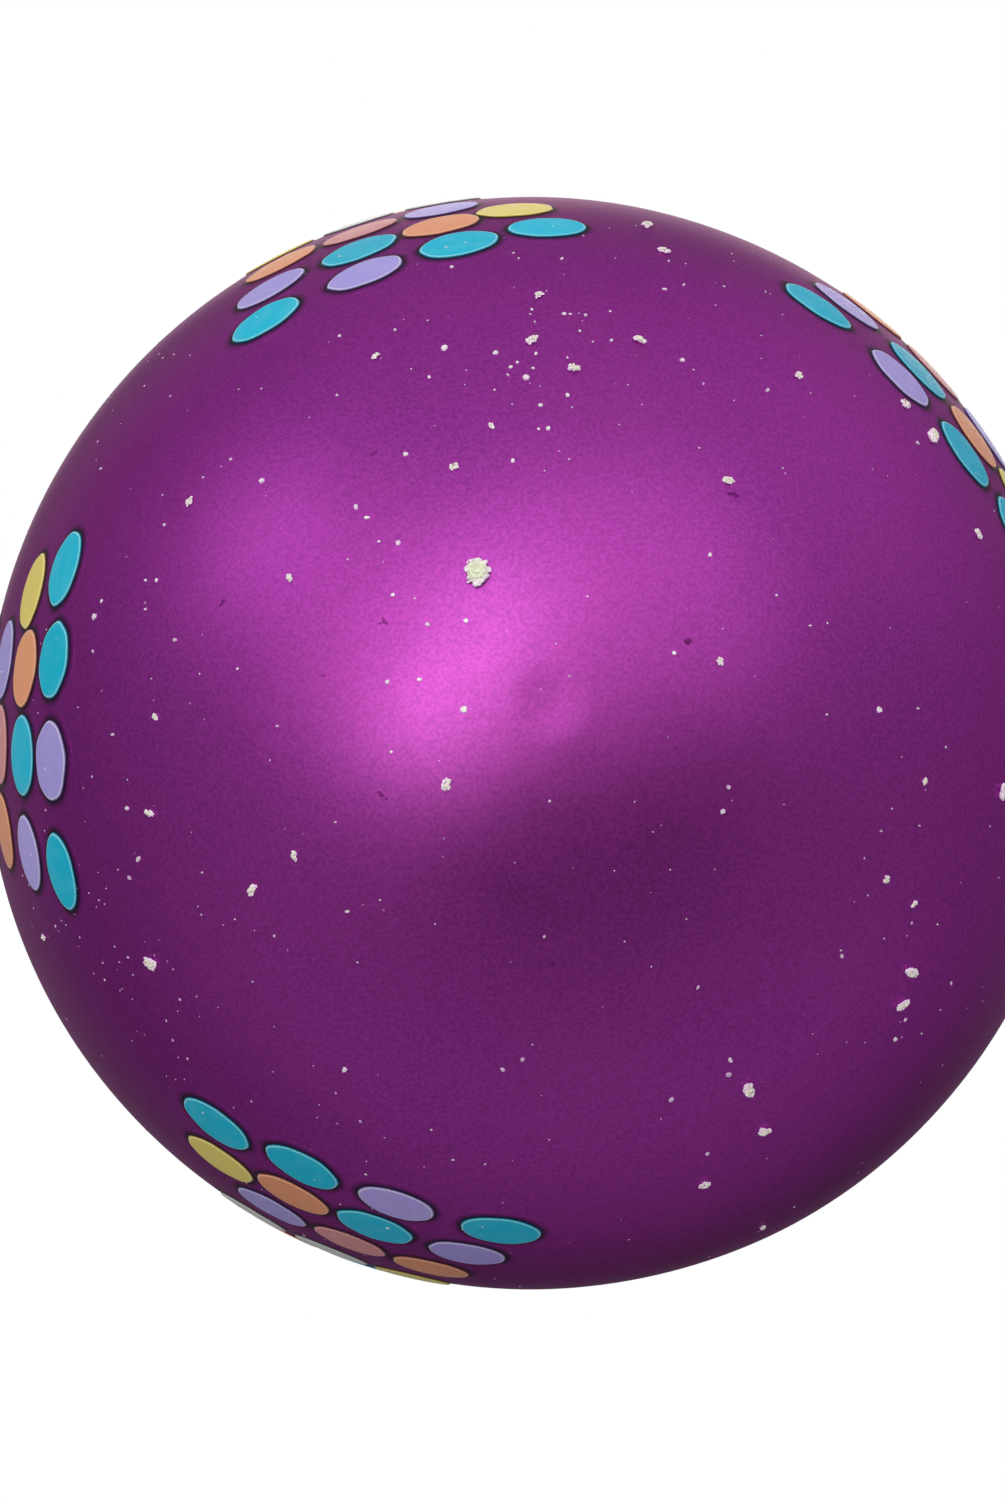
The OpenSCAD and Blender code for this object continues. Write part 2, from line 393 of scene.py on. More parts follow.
def flake_material():
    """Fine glitter: bright plates, each toned a little differently, with a faint glow painted on as
    their glints.
    """
    # the emission is painted light: a faint glow that stands for the glints of the plates
    s = Shader(
        "glitter_flake", (0.98, 0.80, 1.0), metallic=0.1, roughness=0.3, Specular_IOR_Level=0.8,
        Emission_Color=(0.95, 0.65, 1.0, 1), Emission_Strength=0.07,
    )
    s.color(s.mix(s.attribute("tone"), (0.60, 0.26, 0.64), (0.98, 0.84, 1.0)))
    s.roughness(s.mapped(s.noise(0.3 * MM, 2), 0.3, 0.7, 0.22, 0.4))
    return s.material


def chip_material():
    """Thin spots where the lacquer has pulled back and lies darker."""
    s = Shader("lacquer_chip", (0.14, 0.008, 0.15), metallic=0.9, roughness=0.5)
    left_over = s.mapped(s.noise(0.2 * MM, 2), 0.3, 0.7, 0, 1)
    s.color(s.mix(left_over, (0.13, 0.01, 0.14), (0.32, 0.03, 0.32)))
    return s.material


def cap_material():
    """Stamped tin: bright, softly brushed along its height, and duller in patches."""
    s = Shader("cap_metal", (0.80, 0.79, 0.77), metallic=1.0, roughness=0.28)
    dull = s.mapped(s.noise(2.5 * MM, 4), 0.4, 0.75, 0, 1)
    s.color(s.mix(dull, (0.82, 0.81, 0.79), (0.60, 0.58, 0.55)))
    s.roughness(s.mapped(s.noise(1.2 * MM, 4, 0.6, (1, 1, 0.15)), 0.3, 0.7, 0.18, 0.42))
    s.bump(s.noise(0.25 * MM, 3, 0.6, (1, 1, 0.1)), 0.012 * MM)
    return s.material


def wire_material():
    """Drawn spring steel, with duller patches and fine marks."""
    s = Shader("hanger_steel", (0.62, 0.61, 0.60), metallic=1.0, roughness=0.25)
    dull = s.mapped(s.noise(1.0 * MM, 3), 0.4, 0.7, 0, 1)
    s.color(s.mix(dull, (0.66, 0.65, 0.64), (0.42, 0.40, 0.38)))
    s.roughness(s.mapped(s.noise(0.5 * MM, 3), 0.3, 0.7, 0.16, 0.36))
    s.bump(s.noise(0.2 * MM, 2), 0.008 * MM)
    return s.material


# ---- Pieces ----
def glass_ball(lacquer):
    """The blown shell: pip, ball, neck, rounded rim, and the silvered inside."""
    # the outside runs up from the pole, in finer rows over the pip
    end = math.pi - math.asin(BLEND_X / (BALL_R + NECK_BLEND_R))
    fine = math.radians(9)
    fine_steps, coarse_steps, inner_steps = 24, 150, 80
    angles = [fine * k / fine_steps for k in range(fine_steps)]
    angles += [fine + (end - fine) * k / coarse_steps for k in range(coarse_steps)]
    profile = [(BALL_R * math.sin(a), -BALL_R * math.cos(a)) for a in angles]
    sphere_rows = len(profile)
    # then round the bend, up the neck and over the lip
    bend_steps, neck_steps, lip_steps, inner_bend_steps = 10, 6, 8, 8
    bend = end - math.pi / 2
    inner_r = BALL_R - GLASS_T
    lip = GLASS_T / 2
    lip_z = BALL_R + NECK_H - lip
    neck = [BLEND_Z + (lip_z - BLEND_Z) * k / neck_steps for k in range(1, neck_steps)]
    profile += arc((BLEND_X, BLEND_Z), NECK_BLEND_R, math.pi + bend, -bend, bend_steps)
    profile += [(NECK_R, z) for z in neck]
    profile += arc((NECK_R - lip, lip_z), lip, 0, math.pi, lip_steps)
    # and back down the inside to the pole
    profile += [(NECK_R - GLASS_T, z) for z in neck[::-1]]
    profile += arc((BLEND_X, BLEND_Z), NECK_BLEND_R + GLASS_T, math.pi, bend, inner_bend_steps)
    turns = [end * (1 - k / inner_steps) for k in range(1, inner_steps + 1)]
    profile += [(inner_r * math.sin(a), -inner_r * math.cos(a)) for a in turns]
    profile[0], profile[-1] = (0, -BALL_R), (0, -inner_r)

    def shape(v, row, turn):
        # only the outside of the sphere is uneven
        if row >= sphere_rows:
            return CENTRE + v
        out = v.normalized()
        return CENTRE + out * glass_radius(out)

    # the lacquer ends at the top of the lip, and the silvering begins there
    segments = 256
    verts, faces = revolved(profile, segments, shape)
    lip_top_row = sphere_rows + (bend_steps + 1) + (neck_steps - 1) + lip_steps // 2
    kinds = [0 if min(f) // segments < lip_top_row else 1 for f in faces]
    # the last faces are the fans at the two poles, outside and inside in turn
    kinds[-2 * segments:] = [0, 1] * segments
    new_piece(
        "lacquered_ball", verts, faces, "ball",
        [lacquer, silvering_material()], ["glass_shell"], kinds=kinds,
    )


DOT_SEGMENTS = 56
# Section of a dot from near its middle out: share of its half width, share of its thickness, how pale
# it is and how dark its painted shade is, for the shadow at its base. The last ring is under the glass
DOT_SECTION = (
    (0.25, 1.0, 0, 0), (0.50, 1.0, 0, 0), (0.72, 0.99, 0, 0), (0.86, 0.98, 0, 0),
    (0.93, 0.98, 0, 0), (0.95, 0.97, 0.9, 0), (0.975, 0.92, 1, 0), (0.985, 0.78, 0.4, 0),
    (1.0, 0.5, 0, 0.6), (1.01, 0.25, 0, 1), (1.03, 0.06, 0, 1), (1.03, -0.25, 0, 1),
)
# The middle of a dot is a little lower than the ring round it, as a share of its thickness
DOT_MIDDLE = 0.975
# Section of the painted shade round a dot, a soft dark ring in the lacquer for the dot's shadow and its
# dark reflection: millimetres past the dot's outline, height over the glass, and how dark it is. A darker
# place stands higher, so where two rings meet the darker one shows
PAINTED_SHADE_SECTION = (
    (-0.20, 0.024, 1.0), (0.10, 0.024, 1.0), (0.24, 0.021, 0.88), (0.38, 0.017, 0.66),
    (0.54, 0.012, 0.42), (0.70, 0.008, 0.20), (0.86, 0.005, 0.06), (1.00, 0.003, 0.0),
    (1.01, 0.002, 0.0), (1.01, -0.03, 0.0), (-0.20, -0.03, 1.0),
)


def hand_laid_oval(rng):
    """The outline of a unit oval with slightly pointed ends and an uneven edge."""
    # how pointed the two ends are: 1 is a plain oval
    points = (rng.uniform(0.96, 1.12), rng.uniform(0.96, 1.12))
    swells = [(n, rng.uniform(-0.014, 0.014), rng.uniform(0, TAU)) for n in (2, 3, 5, 7)]
    outline = []
    for s in range(DOT_SEGMENTS):
        a = TAU * s / DOT_SEGMENTS
        c, n = math.cos(a), math.sin(a)
        grow = 1 + sum(h * math.cos(k * a + p) for k, h, p in swells)
        narrow = abs(n) ** (points[0] if c > 0 else points[1])
        outline.append((grow * c, math.copysign(grow * narrow, n)))
    return outline


def enamel_dots(group, enamel, material, painted_shades, rng):
    """The dots of one colour in one group: flat ovals with a raised lip and hand-laid outlines. The
    painted shade round each, a soft dark ring in the lacquer, is added to the heap it is given."""
    node = f"{group}_{enamel}_dots"
    verts, faces, rims, painted_foot_shades, tones = [], [], [], [], []
    for corners in solids_of(node):
        out, along, across, half_l, half_w = lie_of(corners)
        half_l *= rng.uniform(0.95, 1.0)
        half_w *= rng.uniform(0.92, 1.07)
        outline = hand_laid_oval(rng)
        tone = rng.uniform(0.2, 0.8)
        base = len(verts)
        verts.append(at_surface(out, along, across, 0, 0, DOT_T * DOT_MIDDLE))
        rims.append(0)
        painted_foot_shades.append(0)
        # each ring keeps how pale it is and its painted shade
        for share, rise, rim, painted_foot_shade in DOT_SECTION:
            for u, v in outline:
                x, y = share * u * half_l, share * v * half_w
                verts.append(at_surface(out, along, across, x, y, DOT_T * rise))
                rims.append(rim)
                painted_foot_shades.append(painted_foot_shade)
        last = len(verts)
        verts.append(at_surface(out, along, across, 0, 0, DOT_T * DOT_SECTION[-1][1]))
        rims.append(0)
        painted_foot_shades.append(1)
        tones += [tone] * (len(verts) - base)
        rings = [base + 1 + k * DOT_SEGMENTS for k in range(len(DOT_SECTION))]
        for a, b in zip(rings, rings[1:]):
            faces += band(a, b, DOT_SEGMENTS)
        for s in range(DOT_SEGMENTS):
            t = (s + 1) % DOT_SEGMENTS
            faces.append((base, rings[0] + s, rings[0] + t))
            faces.append((last, rings[-1] + t, rings[-1] + s))
        # the painted shade round the dot: a soft dark ring in the lacquer for its shadow and dark reflection
        ring = []
        for gap, height, _ in PAINTED_SHADE_SECTION:
            for u, v in outline:
                x, y = u * (half_l + gap * MM), v * (half_w + gap * MM)
                ring.append(at_surface(out, along, across, x, y, height * MM))
        painted_shades.ring(ring, [dark for _, _, dark in PAINTED_SHADE_SECTION for _ in outline], DOT_SEGMENTS)
    new_piece(
        f"{group}_{enamel}_enamel", verts, faces, "ball", [material], [node],
        values={"rim": rims, "painted_foot_shade": painted_foot_shades, "tone": tones},
    )


def lump(rng, rings, segments, rough):
    """Vertices and faces of an uneven unit lump."""
    verts, faces = [Vector((0, 0, -1))], []
    shift = Vector([rng.uniform(0, 50) for _ in range(3)])
    for k in range(1, rings + 1):
        a = math.pi * k / (rings + 1)
        for s in range(segments):
            b = TAU * (s + 0.5 * (k % 2)) / segments  # every other ring is turned by half a step
            verts.append(Vector((math.sin(a) * math.cos(b), math.sin(a) * math.sin(b), -math.cos(a))))
    verts.append(Vector((0, 0, 1)))
    verts = [v * (1 + rough * 2 * noise.noise(v * 1.7 + shift)) for v in verts]
    for k in range(rings - 1):
        faces += band_inward(1 + k * segments, 1 + (k + 1) * segments, segments)
    top = 1 + (rings - 1) * segments
    for s in range(segments):
        t = (s + 1) % segments
        faces.append((0, 1 + t, 1 + s))
        faces.append((top + s, top + t, len(verts) - 1))
    return verts, faces


# How far the underside of a flat shape lies in the glass
SUNK = 0.01 * MM


class Heap:
    """Many small shapes gathered into one piece that lies on the ball, with a number for each vertex
    under a name."""

    def __init__(self, key):
        self.verts, self.faces, self.numbers, self.key = [], [], [], key

    def add(self, shape, out, along, across, x, y, sizes, lift, number):
        """Puts a unit shape, sized along, across and outwards, at x, y from a direction."""
        verts, faces = shape
        base = len(self.verts)
        at = at_surface(out, along, across, x, y, lift)
        length, width, height = sizes
        self.verts += [at + along * v.x * length + across * v.y * width + out * v.z * height for v in verts]
        self.faces += [tuple(base + i for i in f) for f in faces]
        self.numbers += [number] * len(verts)

    def ring(self, verts, numbers, segments):
        """Adds a closed ring, given as its section's loops one after another."""
        base, loops = len(self.verts), len(verts) // segments
        self.verts += verts
        self.numbers += numbers
        for k in range(loops):
            self.faces += band(base + k * segments, base + (k + 1) % loops * segments, segments)

    def piece(self, name, slot, material, replaces=(), smooth=False):
        """Makes the gathered shapes into the piece."""
        new_piece(
            name, self.verts, self.faces, "ball", [material],
            replaces, smooth, {self.key: self.numbers},
        )


# A crumb with a half length over this is one round heap, and a smaller one is three lobes in a row
BIG_CRUMB = 1.1 * MM
# How crusted the core of a big crumb is, and the core of a smaller one
BIG_CORE_CRUST, CORE_CRUST = 0, 0.9


def glitter_crumbs(rng):
    """Each crumb is a low core heaped with small grains. A big one is cream in the middle and bright at
    its edge."""
    heap = Heap("crust")
    for corners in solids_of("glitter_crumbs"):
        out, along, across, half, _ = lie_of(corners)
        along, across = turned(along, across, rng.uniform(0, TAU))
        big = half > BIG_CRUMB
        slim = rng.uniform(0.8, 0.95) if big else rng.uniform(0.45, 0.8)
        # the core
        for lobe in range(1 if big else 3):
            w = half * (0.8 if big else rng.uniform(0.3, 0.55))
            x, y = (0, 0) if big else (half * 0.45 * (lobe - 1), half * slim * rng.uniform(-0.4, 0.4))
            sizes = (w, w * rng.uniform(0.7, 0.95), w * 0.55)
            crust = BIG_CORE_CRUST if big else CORE_CRUST
            heap.add(lump(rng, 9, 16, 0.2), out, along, across, x, y, sizes, w * 0.25, crust)
        # the grains: closer together towards the edge, and lying lower there
        grain = 0.09 * MM + 0.065 * half
        for _ in range(int(10 + 45 * (half / MM) ** 1.5)):
            a = rng.uniform(0, TAU)
            reach = rng.uniform(0, 1) ** 0.4 * rng.uniform(0.88, 1.04)
            size = grain * rng.uniform(0.7, 1.35)
            x, y = reach * half * math.cos(a), reach * half * slim * math.sin(a)
            spun = turned(along, across, rng.uniform(0, TAU))
            lift = half * 0.62 * math.sqrt(max(0, 1 - (0.92 * reach) ** 2)) * rng.uniform(0.75, 1.05)
            crust = min(1, smooth_step(0.55, 0.85, reach) * rng.uniform(0.8, 1) + rng.uniform(0, 0.2))
            d = beside(out, along, across, x, y)
            heap.add(lump(rng, 3, 6, 0.3), d, *spun, 0, 0, (size, size * 0.75, size * 0.7), lift, crust)
    heap.piece("glitter_crust", "glitter_crumb", crumb_material(), ["glitter_crumbs"])


def plate(rng):
    """An uneven flat plate of unit radius, with its underside at 0."""
    n = rng.randint(5, 8)
    radii = [rng.uniform(0.7, 1.1) for _ in range(n)]
    rim = [Vector((r * math.cos(TAU * k / n), r * math.sin(TAU * k / n), 0)) for k, r in enumerate(radii)]
    thickness = 0.3
    top = [v * 0.82 + Vector((0, 0, thickness * rng.uniform(0.8, 1.6))) for v in rim]
    faces = [tuple(range(n - 1, -1, -1)), tuple(range(n, 2 * n))]
    faces += [(k, (k + 1) % n, n + (k + 1) % n, n + k) for k in range(n)]
    return rim + top, faces


def glitter_flakes(material, rng):
    """The fine flakes, where the frame has them."""
    heap = Heap("tone")
    for corners in solids_of("glitter_flakes"):
        out, along, across, half, _ = lie_of(corners)
        half *= rng.uniform(0.7, 1.1)
        sizes = (half, half * rng.uniform(0.55, 1), half * 0.9)
        heap.add(plate(rng), out, along, across, 0, 0, sizes, -SUNK, rng.uniform(0.3, 1))
    heap.piece("fine_glitter", "glitter_flake", material, ["glitter_flakes"])


# Where dust lies thickest: angle from the bottom, azimuth, spread in degrees, number of specks and
# how many times the usual size they are
DUST_PATCHES = (
    (40, 268, 5, 18, 2.2), (40, 268, 10, 16, 1), (55, 148, 8, 30, 1), (63, 163, 7, 22, 1),
    (60, 120, 10, 22, 1), (45, 30, 10, 14, 1), (58, 300, 9, 16, 1), (31, 262, 4, 5, 2.4),
    (50, 205, 3, 3, 2.4),
)
# The specks all over the ball, and the height of a direction over which the neck keeps them off
DUST_EVENLY = 620
DUST_TOP = 0.93
# How many specks lie on a dot: one of these, taken at random
DUST_ON_DOT = (0, 0, 1, 1, 2)


def glitter_dust(material, rng):
    """Specks too small for the frame: evenly over the ball, thicker in a few patches, and on the dots."""
    places = []
    while len(places) < DUST_EVENLY:
        d = Vector([rng.gauss(0, 1) for _ in range(3)]).normalized()
        if d.z < DUST_TOP:
            places.append((d, 1))
    for angle, azimuth, spread, count, scale in DUST_PATCHES:
        for _ in range(count):
            turn = rng.gauss(0, spread) / math.sin(math.radians(angle))
            places.append((on_ball(angle + rng.gauss(0, spread), azimuth + turn), scale))
    heap = Heap("tone")

    def speck(d, scale, lift, tone):
        """Adds one speck, so many times the usual size."""
        along, across = any_axes(d, rng)
        size = scale * rng.uniform(0.05, 0.11) * MM * rng.choice((1, 1, 1.5))
        heap.add(plate(rng), d, along, across, 0, 0, (size, size * rng.uniform(0.6, 1), size), lift, tone)

    for d, scale in places:
        speck(d, scale, 0, rng.uniform(0, 0.9) if scale == 1 else rng.uniform(0.7, 1))
    for group in GROUPS:
        for enamel in ENAMELS:
            for corners in solids_of(f"{group}_{enamel}_dots"):
                out, along, across, half_l, half_w = lie_of(corners)
                for _ in range(rng.choice(DUST_ON_DOT)):
                    x, y = rng.uniform(-0.6, 0.6) * half_l, rng.uniform(-0.6, 0.6) * half_w
                    d = beside(out, along, across, x, y)
                    speck(d, 1, DOT_T * 0.95, rng.uniform(0.6, 1))
    heap.piece("glitter_dust", "glitter_flake", material)


# Bare spots in the lacquer: angle from the bottom, azimuth and width in millimetres
CHIPS = (
    (13, 325, 0.8), (21, 207, 0.6), (28, 305, 0.7), (20, 158, 0.7),
    (34, 234, 0.6), (38, 199, 0.7), (25, 190, 0.4), (24, 95, 0.5),
)
CHIP_PATCHES = 4
CHIP_H = 0.02 * MM


def lacquer_chips(rng):
    """Each bare spot is a few thin patches that lie over each other."""
    heap = Heap("depth")
    for angle, azimuth, width in CHIPS:
        d = on_ball(angle, azimuth)
        along, across = any_axes(d, rng)
        for _ in range(CHIP_PATCHES):
            w = width * MM * rng.uniform(0.25, 0.5)
            x, y = rng.gauss(0, 0.3) * width * MM, rng.gauss(0, 0.2) * width * MM
            heap.add(lump(rng, 3, 10, 0.2), d, along, across, x, y, (w, w * 0.6, CHIP_H), -SUNK, 1)
    heap.piece("lacquer_chips", "lacquered_glass", chip_material(), smooth=True)


# The cap's stamped metal, the raised ring in its top, and its flutes: how deep they are on the skirt, how
# much deeper at its edge, how far the edge is scalloped, and how far under the shoulder they are whole
CAP_METAL_T = 0.8 * CAP_T
CAP_RING_R = 5.2 * MM
CAP_RING_W = 0.7 * MM
CAP_RING_H = 0.18 * MM
CAP_FLUTES = 24
FLUTE_DEPTH = 0.16 * MM
FLUTE_EDGE_DEPTH = 0.22 * MM
FLUTE_SCALLOP = 0.22 * MM
FLUTE_START = 2.2 * MM
# The cap's outer radius, and the height of its flat top over the ball's centre
CAP_R = NECK_R + CAP_GAP + CAP_T
CAP_FLAT_Z = CAP_TOP_Z - CENTRE.z - CAP_RING_H


def cap_profile():
    """Section of the cap as (radius, height over the ball's centre): from the middle of its top out and
    down to its flared edge, and back along its inside."""
    flat_steps, round_steps, wall_steps, flare_steps = 30, 10, 10, 9
    spans = [CAP_R * k / flat_steps for k in range(1, flat_steps + 1)]
    flat = [r for r in spans if r < CAP_R - CAP_ROUND_R - 0.1 * MM]
    round_z = CAP_FLAT_Z - CAP_ROUND_R
    outer = [(0, CAP_FLAT_Z)]
    outer += [(r, CAP_FLAT_Z + CAP_RING_H * math.exp(-(((r - CAP_RING_R) / CAP_RING_W) ** 2))) for r in flat]
    outer += arc((CAP_R - CAP_ROUND_R, round_z), CAP_ROUND_R, math.pi / 2, -math.pi / 2, round_steps)
    outer += [(CAP_R, BLEND_Z + (round_z - BLEND_Z) * (1 - k / wall_steps)) for k in range(1, wall_steps)]
    # the flare follows the bend of the glass
    flare_r = NECK_BLEND_R - CAP_GAP - CAP_T
    outer += arc((BLEND_X, BLEND_Z), flare_r, math.pi, math.radians(58), flare_steps)
    # the inside is the outside moved in by the thickness of the metal
    inside = []
    for k in range(1, len(outer)):
        before, after = outer[k - 1], outer[min(k + 1, len(outer) - 1)]
        dx, dz = after[0] - before[0], after[1] - before[1]
        length = math.hypot(dx, dz)
        inside.append((outer[k][0] + dz / length * CAP_METAL_T, outer[k][1] - dx / length * CAP_METAL_T))
    # the cut edge is a little rounded
    bulge = 0.08 * MM
    edge_x, edge_z = [(a + b) / 2 for a, b in zip(outer[-1], inside[-1])]
    return outer + [(edge_x + bulge, edge_z - bulge)] + inside[::-1] + [(0, CAP_FLAT_Z - CAP_METAL_T)]


def punch_holes(cap):
    """Cuts the two holes that the wire passes through."""
    mesh = bpy.data.meshes.new("punch")
    bm = bmesh.new()
    for side in (-1, 1):
        bmesh.ops.create_cone(
            bm, cap_ends=True, segments=32, radius1=CAP_HOLE_R, radius2=CAP_HOLE_R, depth=4 * MM,
            matrix=Matrix.Translation(Vector((side * LEG_X, 0, CAP_TOP_Z - 1 * MM))),
        )
    bm.to_mesh(mesh)
    bm.free()
    punch = bpy.data.objects.new("punch", mesh)
    bpy.context.scene.collection.objects.link(punch)
    cut = cap.modifiers.new("holes", "BOOLEAN")
    cut.operation, cut.solver, cut.object = "DIFFERENCE", "EXACT", punch
    with bpy.context.temp_override(object=cap, active_object=cap):
        bpy.ops.object.modifier_apply(modifier=cut.name)
    bpy.data.objects.remove(punch)


def fluted_cap():
    """The stamped cap: a top with a raised ring, a rounded shoulder, and a fluted, flared skirt."""
    shoulder_z = CAP_FLAT_Z - 0.6 * CAP_ROUND_R

    def shape(v, row, turn):
        # only the skirt is fluted, and only its flared edge is scalloped
        r = math.hypot(v.x, v.y)
        skirt = smooth_step(shoulder_z, shoulder_z - FLUTE_START, v.z) if r > 0.85 * CAP_R else 0
        edge = smooth_step(BLEND_Z + 0.4 * MM, BLEND_Z - 1.4 * MM, v.z)
        wave = math.cos(CAP_FLUTES * turn)
        grow = skirt * (FLUTE_DEPTH + FLUTE_EDGE_DEPTH * edge) * wave
        k = (r + grow) / r if r > 0 else 1
        return Vector((v.x * k, v.y * k, v.z - FLUTE_SCALLOP * edge * wave)) + CENTRE

    steps_in_flute = 12
    verts, faces = revolved(cap_profile(), CAP_FLUTES * steps_in_flute, shape)
    faces = [f[::-1] for f in faces]
    cap = new_piece("fluted_cap", verts, faces, "cap", [cap_material()], ["cap"])
    punch_holes(cap)


def hanger_path():
    """The middle line of the wire as (x, z), from the end of one leg over the eye to the other's end."""
    bend_x = LEG_X + EYE_BEND_R
    bend_z = -math.sqrt((EYE_R + EYE_BEND_R) ** 2 - bend_x * bend_x)
    join = math.atan2(-bend_z, bend_x)
    spread_z = CAP_TOP_Z - CAP_T - LEG_STRAIGHT_L
    splay_l = (LEG_END_X - LEG_X - 2 * LEG_BEND_R * (1 - math.cos(LEG_SPLAY))) / math.sin(LEG_SPLAY)
    end_z = spread_z - 2 * LEG_BEND_R * math.sin(LEG_SPLAY) - splay_l * math.cos(LEG_SPLAY)
    eye_steps, bend_steps, leg_steps = 48, 14, 12
    right = arc((0, 0), EYE_R, math.pi / 2, -math.pi / 2 - join, eye_steps)
    right += arc((bend_x, bend_z), EYE_BEND_R, math.pi - join, join, bend_steps)[1:]
    right += arc((LEG_X + LEG_BEND_R, spread_z), LEG_BEND_R, math.pi, LEG_SPLAY, leg_steps)
    right += arc((LEG_END_X - LEG_BEND_R, end_z), LEG_BEND_R, LEG_SPLAY, -LEG_SPLAY, leg_steps)
    right += [(LEG_END_X, end_z - LEG_END_L)]
    return [(-x, z) for x, z in right[:0:-1]] + right


def hanger():
    """The spring wire: an eye, two bends down to the cap's holes, and two legs that spread in the neck."""
    path = hanger_path()
    rings = []
    for k, (x, z) in enumerate(path):
        before, after = path[max(k - 1, 0)], path[min(k + 1, len(path) - 1)]
        ahead = Vector((after[0] - before[0], 0, after[1] - before[1])).normalized()
        rings.append((Vector((x, 0, z)), ahead, WIRE_R))
    # both ends are rounded, and stop just short of a point
    dome_rows = 4
    turns = [math.pi / 2 * k / (dome_rows + 0.35) for k in range(1, dome_rows + 1)]
    at, ahead, _ = rings[0]
    start = [(at - ahead * WIRE_R * math.sin(a), ahead, WIRE_R * math.cos(a)) for a in turns]
    at, ahead, _ = rings[-1]
    end = [(at + ahead * WIRE_R * math.sin(a), ahead, WIRE_R * math.cos(a)) for a in turns]
    rings = start[::-1] + rings + end
    sides = 20
    side_axis = Vector((0, 1, 0))
    verts, faces = [], []
    for at, ahead, r in rings:
        across = side_axis.cross(ahead)
        for s in range(sides):
            a = TAU * s / sides
            verts.append(at + across * r * math.cos(a) + side_axis * r * math.sin(a))
    for k in range(len(rings) - 1):
        faces += band(k * sides, (k + 1) * sides, sides)
    last = (len(rings) - 1) * sides
    faces.append(tuple(range(sides)))
    faces.append(tuple(last + s for s in range(sides - 1, -1, -1)))
    steel = wire_material()
    new_piece("spring_wire", verts, faces, "hanger", [steel], ["hanger_wire"])


# ---- Studio ----
# Where the camera stands, as a direction from the ball, and how far off
VIEW_TILT = 4.7
VIEW_AZIMUTH = 150
VIEW_DISTANCE = 0.5
# Its lens and sensor in millimetres
LENS = 130.6
SENSOR_W = 36
# The ball hangs a little right of and above the middle of the frame
AIM_LEFT = 2.7 * MM
AIM_DOWN = 0.63 * MM
# The floor reaches this far from the middle, and lies this far under the ball's centre
FLOOR_REACH = 60
FLOOR_DROP = 1.3


def camera():
    """Almost straight below the ball, looking up at its pip. Gives its right, its up and the way back to it
    from the ball."""
    data = bpy.data.cameras.new("camera")
    data.lens, data.sensor_width = LENS, SENSOR_W
    data.clip_start, data.clip_end = 0.01, 100
    cam = bpy.data.objects.new("camera", data)
    bpy.context.scene.collection.objects.link(cam)
    back = on_ball(VIEW_TILT, VIEW_AZIMUTH)
    right = Vector((0, -1, 0)).cross(back).normalized()
    up = back.cross(right)
    cam.matrix_world = Matrix((right, up, back)).transposed().to_4x4()
    cam.location = CENTRE + back * VIEW_DISTANCE - right * AIM_LEFT - up * AIM_DOWN
    bpy.context.scene.camera = cam
    return right, up, back


def softbox(name, direction, distance, width, height, radiance, color=(1, 1, 1)):
    """A rectangular lamp that faces the ball."""
    data = bpy.data.lights.new(name, "AREA")
    data.shape, data.size, data.size_y = "RECTANGLE", width, height
    data.energy, data.color = radiance * math.pi * width * height, color
    lamp = bpy.data.objects.new(name, data)
    bpy.context.scene.collection.objects.link(lamp)
    lamp.location = CENTRE + direction.normalized() * distance
    lamp.rotation_mode = "QUATERNION"
    lamp.rotation_quaternion = direction.to_track_quat("Z", "Y")
    lamp.visible_camera = False


def lamps(right, up, back):
    """Soft lamps below the ball, on the camera's upper left, and a dim one over it."""
    def seen(polar, turn):
        """A direction from the ball: degrees off the line to the camera, and round it from the right."""
        p, t = math.radians(polar), math.radians(turn)
        return (right * math.cos(t) + up * math.sin(t)) * math.sin(p) + back * math.cos(p)

    softbox(
        "key", seen(19.5, 131), distance=0.9, width=0.70, height=0.18, radiance=6.1,
        color=(0.70, 1, 0.60),
    )
    softbox(
        "wide_key", seen(24, 94), distance=1.0, width=2.05, height=0.96, radiance=0.91,
        color=(0.96, 1, 0.89),
    )
    softbox("streak", seen(70, 142), distance=1.0, width=0.36, height=0.26, radiance=1.8)
    softbox(
        "overhead", Vector((0.12, -0.28, 0.95)), distance=1.0, width=0.6, height=0.6, radiance=1.25,
        color=(1, 0.97, 0.90),
    )


